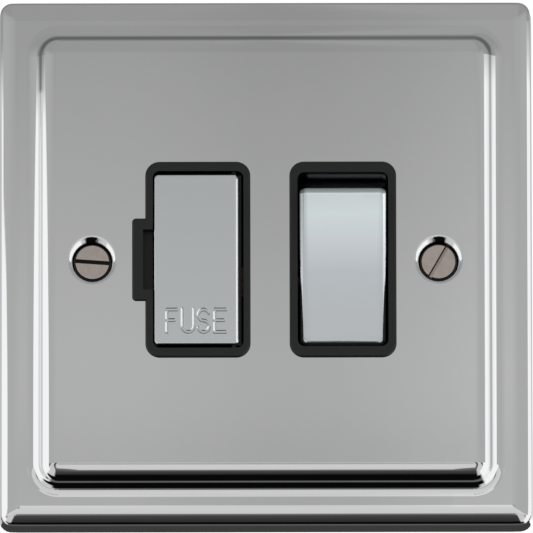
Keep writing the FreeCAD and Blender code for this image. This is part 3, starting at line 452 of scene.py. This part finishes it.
def widen(mesh):
    base = max(abs(vertex.co.x - ROCKER_X) for vertex in mesh.vertices)
    face = base - FACE_TAPER
    for vertex in mesh.vertices:
        away = vertex.co.x - ROCKER_X
        size = abs(away)
        if size <= face:
            wider = size * FACE_WIDER
        else:
            wider = face * FACE_WIDER + (size - face) * (base - face * FACE_WIDER) / FACE_TAPER
        vertex.co.x = ROCKER_X + math.copysign(wider, away)


reshaped("rocker_cap", "wide_rocker_cap", "rocker", widen)


# Mesh helpers

def mesh_object(name, mesh_tool, finish):
    mesh = bpy.data.meshes.new(name)
    mesh_tool.to_mesh(mesh)
    mesh_tool.free()
    made = bpy.data.objects.new(name, mesh)
    bpy.context.collection.objects.link(made)
    mesh.materials.append(finish)
    return made


# Fuse cover: a cap with a bevelled hinge edge and the word for what is behind it cut into its face

COVER_LEFT, COVER_RIGHT, COVER_HALF = -19.4, -4.4, 15.0
COVER_FRONT, COVER_BACK = -10.2, -9.0
COVER_CORNER = 0.8
SIDE_PROFILE = [(0.3 * (1 - math.sin(math.radians(a))), 0.3 * (1 - math.cos(math.radians(a))), a)
                for a in (0, 15, 30, 45, 60, 75, 90)]
HINGE_PROFILE = [(0.74, 0, 0), (0.72, 0.008, 36), (0.5, 0.165, 36), (0.28, 0.325, 36), (0.12, 0.44, 37), (0.03, 0.56, 70),
                 (0, 0.7, 90)]
STROKE_HALF = 0.3
STROKE_DEPTH = 0.27
CUT_SHARE = 0.2
LEFT_WALL = 0.38
OTHER_WALL = 0.1
LEGEND_X = (-18.0, -6.3)
LEGEND_Z = (-13.4, -8.2)
LEGEND_STEP = 0.05


def bow(x, z, r_x, r_z, start_turn, end_turn, steps=14):
    points = []
    for step in range(steps + 1):
        turn = math.radians(start_turn + (end_turn - start_turn) * step / steps)
        points.append((x + r_x * math.cos(turn), z + r_z * math.sin(turn)))
    return points


def legend_strokes():
    high, low = -8.85, -12.8
    strokes = [[(-17.2, low), (-17.2, high), (-15.45, high)], [(-17.2, -10.72), (-15.9, -10.72)]]
    strokes.append([(-14.5, high + 0.1)] + bow(-13.5, -11.85, 1.0, 0.95, 180, 360) + [(-12.5, high + 0.1)])
    upper = bow(-10.8, -9.85, 0.92, 1.0, 20, 240)
    lower = bow(-10.8, -11.8, 0.98, 1.02, 60, -160)
    strokes.append(upper + lower)
    strokes.append([(-6.95, high), (-8.85, high), (-8.85, low), (-6.95, low)])
    strokes.append([(-8.85, -10.75), (-7.3, -10.75)])
    return strokes


def legend_segments():
    segments = []
    for stroke in legend_strokes():
        segments += list(zip(stroke, stroke[1:]))
    return segments


def groove_depth(x, z, segments):
    deepest = 0.0
    for (ax, az), (bx, bz) in segments:
        if x < min(ax, bx) - 0.4 or x > max(ax, bx) + 0.4 or z < min(az, bz) - 0.4 or z > max(az, bz) + 0.4:
            continue
        dx, dz = bx - ax, bz - az
        share = max(0, min(1, ((x - ax) * dx + (z - az) * dz) / (dx * dx + dz * dz)))
        ux, uz = x - ax - dx * share, z - az - dz * share
        away = math.hypot(ux, uz)
        upright = abs(dz) / math.hypot(dx, dz)
        signed = -away if ux < 0 else away
        left_wall = OTHER_WALL + (LEFT_WALL - OTHER_WALL) * upright
        deepest = max(deepest, min(1, (signed + STROKE_HALF) / left_wall, (STROKE_HALF - signed) / OTHER_WALL))
    return STROKE_DEPTH * deepest


def cover_ring(side, hinge):
    ring = []
    steps = 8
    for corner_x, corner_z, turn in ((1, 1, 0), (-1, 1, 90), (-1, -1, 180), (1, -1, 270)):
        centre_x = COVER_RIGHT - COVER_CORNER if corner_x > 0 else COVER_LEFT + COVER_CORNER
        centre_z = corner_z * (COVER_HALF - COVER_CORNER)
        for step in range(steps + 1):
            angle = math.radians(turn + 90 * step / steps)
            out_x, out_z = math.cos(angle), math.sin(angle)
            weight = math.sqrt(max(0, out_x))
            inset, drop, tilt = (a + (b - a) * weight for a, b in zip(side, hinge))
            reach = COVER_CORNER - inset
            lean = math.radians(tilt)
            position = (centre_x + out_x * reach, COVER_FRONT + drop, centre_z + out_z * reach)
            normal = (out_x * math.sin(lean), -math.cos(lean), out_z * math.sin(lean))
            ring.append((position, normal))
    return ring


def cover_mesh():
    positions, normals, faces = [], [], []

    def add(position, normal):
        positions.append(tuple(v * MM for v in position))
        normals.append(normal)
        return len(positions) - 1

    rings = []
    for side, hinge in zip(SIDE_PROFILE, HINGE_PROFILE):
        rings.append([add(p, n) for p, n in cover_ring(side, hinge)])
    back = [(x, COVER_BACK, z) for (x, y, z), n in cover_ring(SIDE_PROFILE[-1], HINGE_PROFILE[-1])]
    sides = [n for p, n in cover_ring(SIDE_PROFILE[-1], HINGE_PROFILE[-1])]
    rings.append([add(p, n) for p, n in zip(back, sides)])
    for inner, outer in zip(rings, rings[1:]):
        count = len(inner)
        for i in range(count):
            j = (i + 1) % count
            faces.append((inner[i], outer[i], outer[j], inner[j]))
    faces.append(tuple(rings[-1]))
    back_face = len(faces) - 1

    segments = legend_segments()
    columns = round((LEGEND_X[1] - LEGEND_X[0]) / LEGEND_STEP)
    rows = round((LEGEND_Z[1] - LEGEND_Z[0]) / LEGEND_STEP)
    depths = {}
    for i in range(-1, columns + 2):
        for j in range(-1, rows + 2):
            depths[i, j] = groove_depth(LEGEND_X[0] + i * LEGEND_STEP, LEGEND_Z[0] + j * LEGEND_STEP, segments)
    grid = {}
    for i in range(columns + 1):
        for j in range(rows + 1):
            slope_x = (depths[i + 1, j] - depths[i - 1, j]) / (2 * LEGEND_STEP)
            slope_z = (depths[i, j + 1] - depths[i, j - 1]) / (2 * LEGEND_STEP)
            place_at = (LEGEND_X[0] + i * LEGEND_STEP, COVER_FRONT + CUT_SHARE * depths[i, j], LEGEND_Z[0] + j * LEGEND_STEP)
            grid[i, j] = add(place_at, Vector((slope_x, -1, slope_z)).normalized())
    for i in range(columns):
        for j in range(rows):
            faces.append((grid[i, j], grid[i + 1, j], grid[i + 1, j + 1], grid[i, j + 1]))
    border = [grid[i, 0] for i in range(columns)] + [grid[columns, j] for j in range(rows)]
    border += [grid[i, rows] for i in range(columns, 0, -1)] + [grid[0, j] for j in range(rows, 0, -1)]

    tool = bmesh.new()
    verts = [tool.verts.new(p) for p in positions]
    for face in faces:
        tool.faces.new([verts[i] for i in face])
    loop_edges = []
    for loop in (rings[0], border):
        for i, start_index in enumerate(loop):
            pair = (verts[start_index], verts[loop[(i + 1) % len(loop)]])
            loop_edges.append(tool.edges.get(pair) or tool.edges.new(pair))
    bmesh.ops.triangle_fill(tool, use_beauty=False, use_dissolve=False, edges=loop_edges)
    tool.verts.index_update()
    bmesh.ops.recalc_face_normals(tool, faces=tool.faces[:])
    for face in tool.faces:
        face.smooth = True
    mesh = bpy.data.meshes.new("engraved_fuse_cover")
    tool.to_mesh(mesh)
    tool.free()
    loop_normals = []
    for index, polygon in enumerate(mesh.polygons):
        for vertex in polygon.vertices:
            loop_normals.append((0, 1, 0) if index == back_face else normals[vertex])
    mesh.normals_split_custom_set(loop_normals)
    return mesh


engraved = bpy.data.objects.new("engraved_fuse_cover", cover_mesh())
bpy.context.collection.objects.link(engraved)
engraved.data.materials.append(finishes["satin_chrome"])
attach(engraved, "fuse_carrier")
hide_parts("fuse_cover")


# Camera: below the middle of the plate and looking up at it, from the photo's distance

AIM = Vector((0.19 * MM, PANEL_Y, -1.22 * MM))
DISTANCE = 4.0
RISE = math.radians(9.6)
ROLL = math.radians(-0.1)
PIXELS_PER_M = 5745.0
FRAME_PIXELS = 533
SENSOR = 36.0

camera_data = bpy.data.cameras.new("camera")
camera_data.sensor_width = SENSOR
camera_data.lens = PIXELS_PER_M * DISTANCE * SENSOR / FRAME_PIXELS
camera_data.clip_end = 100
camera = bpy.data.objects.new("camera", camera_data)
bpy.context.collection.objects.link(camera)
backward = Vector((0, -math.cos(RISE), -math.sin(RISE)))
right = Vector((1, 0, 0))
up = backward.cross(right)
turn = Matrix((right, up, backward)).transposed() @ Matrix.Rotation(ROLL, 3, "Z")
camera.matrix_world = Matrix.Translation(AIM + backward * DISTANCE) @ turn.to_4x4()
bpy.context.scene.camera = camera
bpy.context.scene.view_settings.view_transform = "Standard"


# Studio: a pale floor, a pale world, and a light tent in front whose grey bands the metal reflects

def flag_glossy_and_camera(tree):
    path = node(tree, "ShaderNodeLightPath")
    seen = calc(tree, "MAXIMUM", path.outputs["Is Camera Ray"], path.outputs["Is Glossy Ray"])
    return calc(tree, "MAXIMUM", seen, path.outputs["Is Transmission Ray"])


world = bpy.data.worlds.new("studio")
bpy.context.scene.world = world
world.use_nodes = True
background = world.node_tree.nodes["Background"]
background.inputs["Color"].default_value = (1, 1, 1, 1)
seen = flag_glossy_and_camera(world.node_tree)
world.node_tree.links.new(background.inputs["Strength"], spread(world.node_tree, seen, 0, 1, 0.75, 1.0))

TENT_R = 1.0
FLOOR_Z = -1.05
FLOOR_HALF = 6.0
floor_mesh = bmesh.new()
corners = [floor_mesh.verts.new((sx * FLOOR_HALF, sy * FLOOR_HALF, FLOOR_Z))
           for sx, sy in ((-1, -1), (1, -1), (1, 1), (-1, 1))]
floor_mesh.faces.new(corners)
pale, pale_tree, pale_shader = start("pale_floor")
speck = noise(pale_tree, place(pale_tree), 40, 3)
pale_tree.links.new(pale_shader.inputs["Base Color"], blend_colour(pale_tree, speck, (0.9, 0.9, 0.9), (0.93, 0.93, 0.93)))
pale_shader.inputs["Roughness"].default_value = 0.8
floor = mesh_object("floor", floor_mesh, pale)

# Grey levels of the tent as the metal shows them, by degrees above the plate's normal
WIDE_BANDS = [(-180, 55), (-165, 55), (-130, 70), (-112, 90), (-60, 8), (20, 147), (97, 147), (105, 125), (150, 120),
              (165, 160), (180, 190)]
NEAR_BANDS = [(-112, 95), (-99.5, 95), (-96.5, 8), (-58.5, 8), (-54.5, 36), (-45, 55), (-34, 66), (-24, 92),
              (-16, 104), (-14.5, 199), (-3, 203), (2, 204), (4, 212), (5.6, 190), (6.2, 168), (7.1, 166), (7.4, 170), (8.2, 172),
              (9.1, 169), (9.6, 166), (11, 159), (11.8, 155), (12.3, 151), (20, 147)]
PLAIN_SIDE = 168
SKIRT = 0.05
CORNER_LEVEL = 198
LEFT_BANDS = [(0, 255), (95, 255), (98, 200), (120, 196), (127, 185), (180, 185)]
RIGHT_BANDS = [(0, 255), (88, 255), (92, 240), (165, 240), (180, 225)]
UPPER_BANDS = [(0, 200), (150, 200), (180, 185)]
TOP_BANDS = [(0, 150), (150, 150), (180, 140)]
LEFT_EDGE = (50, 77)
LEFT_LIFT = (7.3, 11.5)
RIGHT_EDGE = 65
RIGHT_UNDER = 50
RIGHT_LATER = 0.45
LEFT_SHARE = 0.18
MIDDLE_BANDS = [(-2.7, 1.04), (-1.7, 1.04), (-0.8, 1.0), (0, 0.96), (0.8, 0.97), (1.7, 1.02), (2.7, 1.12)]
METAL_SHARE = 0.78
WHITE_GAIN = 1.15


def band(tree, angle, bands, as_level=True):
    low = bands[0][0]
    high = bands[-1][0]
    stops = []
    for degrees, level in bands:
        value = WHITE_GAIN if level == 255 else linear(level) / METAL_SHARE if as_level else level
        stops.append(((degrees - low) / (high - low), value))
    return ramp(tree, spread(tree, angle, math.radians(low), math.radians(high), 0, 1), stops)


def tent_material():
    material = bpy.data.materials.new("tent")
    material.use_nodes = True
    tree = material.node_tree
    tree.nodes.clear()
    parts = node(tree, "ShaderNodeSeparateXYZ")
    tree.links.new(parts.inputs[0], node(tree, "ShaderNodeTexCoord").outputs["Object"])
    x, y, z = parts.outputs
    front = calc(tree, "MULTIPLY", y, -1.0)
    across = calc(tree, "ABSOLUTE", x)
    under = calc(tree, "MINIMUM", z, 0.0)
    outward = calc(tree, "SQRT", calc(tree, "ADD", calc(tree, "MULTIPLY", x, x), calc(tree, "MULTIPLY", under, under)))
    height = calc(tree, "ARCTAN2", z, front)
    side = calc(tree, "ARCTAN2", outward, front)
    near = calc(tree, "MULTIPLY", calc(tree, "GREATER_THAN", height, math.radians(-110)),
                calc(tree, "LESS_THAN", height, math.radians(20)))
    by_height = blend_colour(tree, near, band(tree, height, WIDE_BANDS), band(tree, height, NEAR_BANDS))
    middle = band(tree, calc(tree, "ARCTAN2", x, front), MIDDLE_BANDS, as_level=False)
    facing = calc(tree, "MULTIPLY", calc(tree, "GREATER_THAN", height, math.radians(-2)),
                  calc(tree, "LESS_THAN", side, math.radians(30)))
    even = node(tree, "ShaderNodeMix", data_type="RGBA", blend_type="MULTIPLY")
    tree.links.new(even.inputs[0], facing)
    tree.links.new(even.inputs[6], by_height)
    tree.links.new(even.inputs[7], middle)
    lift = calc(tree, "ARCSINE", calc(tree, "DIVIDE", z, TENT_R))
    on_right = calc(tree, "GREATER_THAN", x, 0.0)
    later = calc(tree, "SUBTRACT", lift, calc(tree, "MULTIPLY", on_right, math.radians(RIGHT_LATER)))
    rise = spread(tree, lift, math.radians(LEFT_LIFT[0]), math.radians(LEFT_LIFT[1]), 0, 1)
    span = math.radians(LEFT_EDGE[1] - LEFT_EDGE[0])
    left_edge = calc(tree, "ADD", calc(tree, "MULTIPLY", calc(tree, "MULTIPLY", rise, rise), span),
                     math.radians(LEFT_EDGE[0]))
    below = calc(tree, "LESS_THAN", z, 0.0)
    right_edge = calc(tree, "MULTIPLY", on_right, calc(tree, "SUBTRACT", math.radians(RIGHT_EDGE), calc(
        tree, "MULTIPLY", below, math.radians(RIGHT_EDGE - RIGHT_UNDER))))
    left_only = calc(tree, "MULTIPLY", calc(tree, "SUBTRACT", 1.0, on_right), left_edge)
    beyond = calc(tree, "SUBTRACT", side, calc(tree, "ADD", left_only, right_edge))
    lit = spread(tree, beyond, math.radians(-1.2), math.radians(1.2), 0, 1)
    boxes = blend_colour(tree, on_right, band(tree, side, LEFT_BANDS), band(tree, side, RIGHT_BANDS))
    skirt = calc(tree, "MULTIPLY", calc(tree, "LESS_THAN", lift, math.radians(-2)),
                 calc(tree, "GREATER_THAN", side, math.radians(122)))
    boxes = blend_colour(tree, skirt, boxes, (SKIRT, SKIRT, SKIRT))
    upper = spread(tree, later, math.radians(11.0), math.radians(11.35), 0, 1)
    boxes = blend_colour(tree, upper, boxes, band(tree, side, UPPER_BANDS))
    top = spread(tree, later, math.radians(11.42), math.radians(11.9), 0, 1)
    boxes = blend_colour(tree, top, boxes, band(tree, side, TOP_BANDS))
    plain = linear(PLAIN_SIDE) / METAL_SHARE
    unlit = blend_colour(tree, below, (plain, plain, plain), even.outputs[2])
    share = calc(tree, "DIVIDE", across, calc(tree, "ADD", across, calc(tree, "ABSOLUTE", z)))
    slant = calc(tree, "MULTIPLY", spread(tree, share, 0.22, 0.3, 0, 1), spread(tree, share, 0.62, 0.7, 1, 0))
    slope = calc(tree, "MULTIPLY", spread(tree, height, math.radians(-17), math.radians(-15.5), 1, 0),
                 spread(tree, height, math.radians(-72), math.radians(-66), 0, 1))
    corner = calc(tree, "MULTIPLY", calc(tree, "MULTIPLY", slant, slope), below)
    pale = linear(CORNER_LEVEL) / METAL_SHARE
    unlit = blend_colour(tree, corner, unlit, (pale, pale, pale))
    by_side = blend_colour(tree, lit, unlit, boxes)
    level = spread(tree, share, 0.55, 0.8, 0.0, 1.0)
    far = calc(tree, "ADD", share, spread(tree, side, math.radians(85), math.radians(95), 0, LEFT_SHARE))
    lower = blend_colour(tree, on_right, spread(tree, far, 0.5, 0.58, 0, 1), spread(tree, share, 0.36, 0.44, 0, 1))
    weight = blend_colour(tree, below, level, lower)
    colour = blend_colour(tree, weight, blend_colour(tree, corner, even.outputs[2], (pale, pale, pale)), by_side)
    glow = node(tree, "ShaderNodeEmission")
    tree.links.new(glow.inputs["Color"], colour)
    output = node(tree, "ShaderNodeOutputMaterial")
    tree.links.new(output.inputs["Surface"], glow.outputs[0])
    return material


tent_mesh = bmesh.new()
bmesh.ops.create_uvsphere(tent_mesh, u_segments=96, v_segments=64, radius=TENT_R)
tent = mesh_object("tent", tent_mesh, tent_material())
tent.visible_camera = False
tent.visible_diffuse = False
tent.visible_transmission = False
tent.visible_shadow = False


def area_lamp(name, place_at, size, power):
    data = bpy.data.lights.new(name, "AREA")
    data.shape = "DISK"
    data.size = size
    data.energy = power
    lamp = bpy.data.objects.new(name, data)
    lamp.location = place_at
    lamp.rotation_euler = (-Vector(place_at)).to_track_quat("-Z", "Y").to_euler()
    lamp.visible_glossy = False
    bpy.context.collection.objects.link(lamp)


area_lamp("key", (-0.9, -1.3, 1.1), 0.9, 9.0)
area_lamp("fill", (1.1, -1.0, 0.4), 0.9, 5.0)
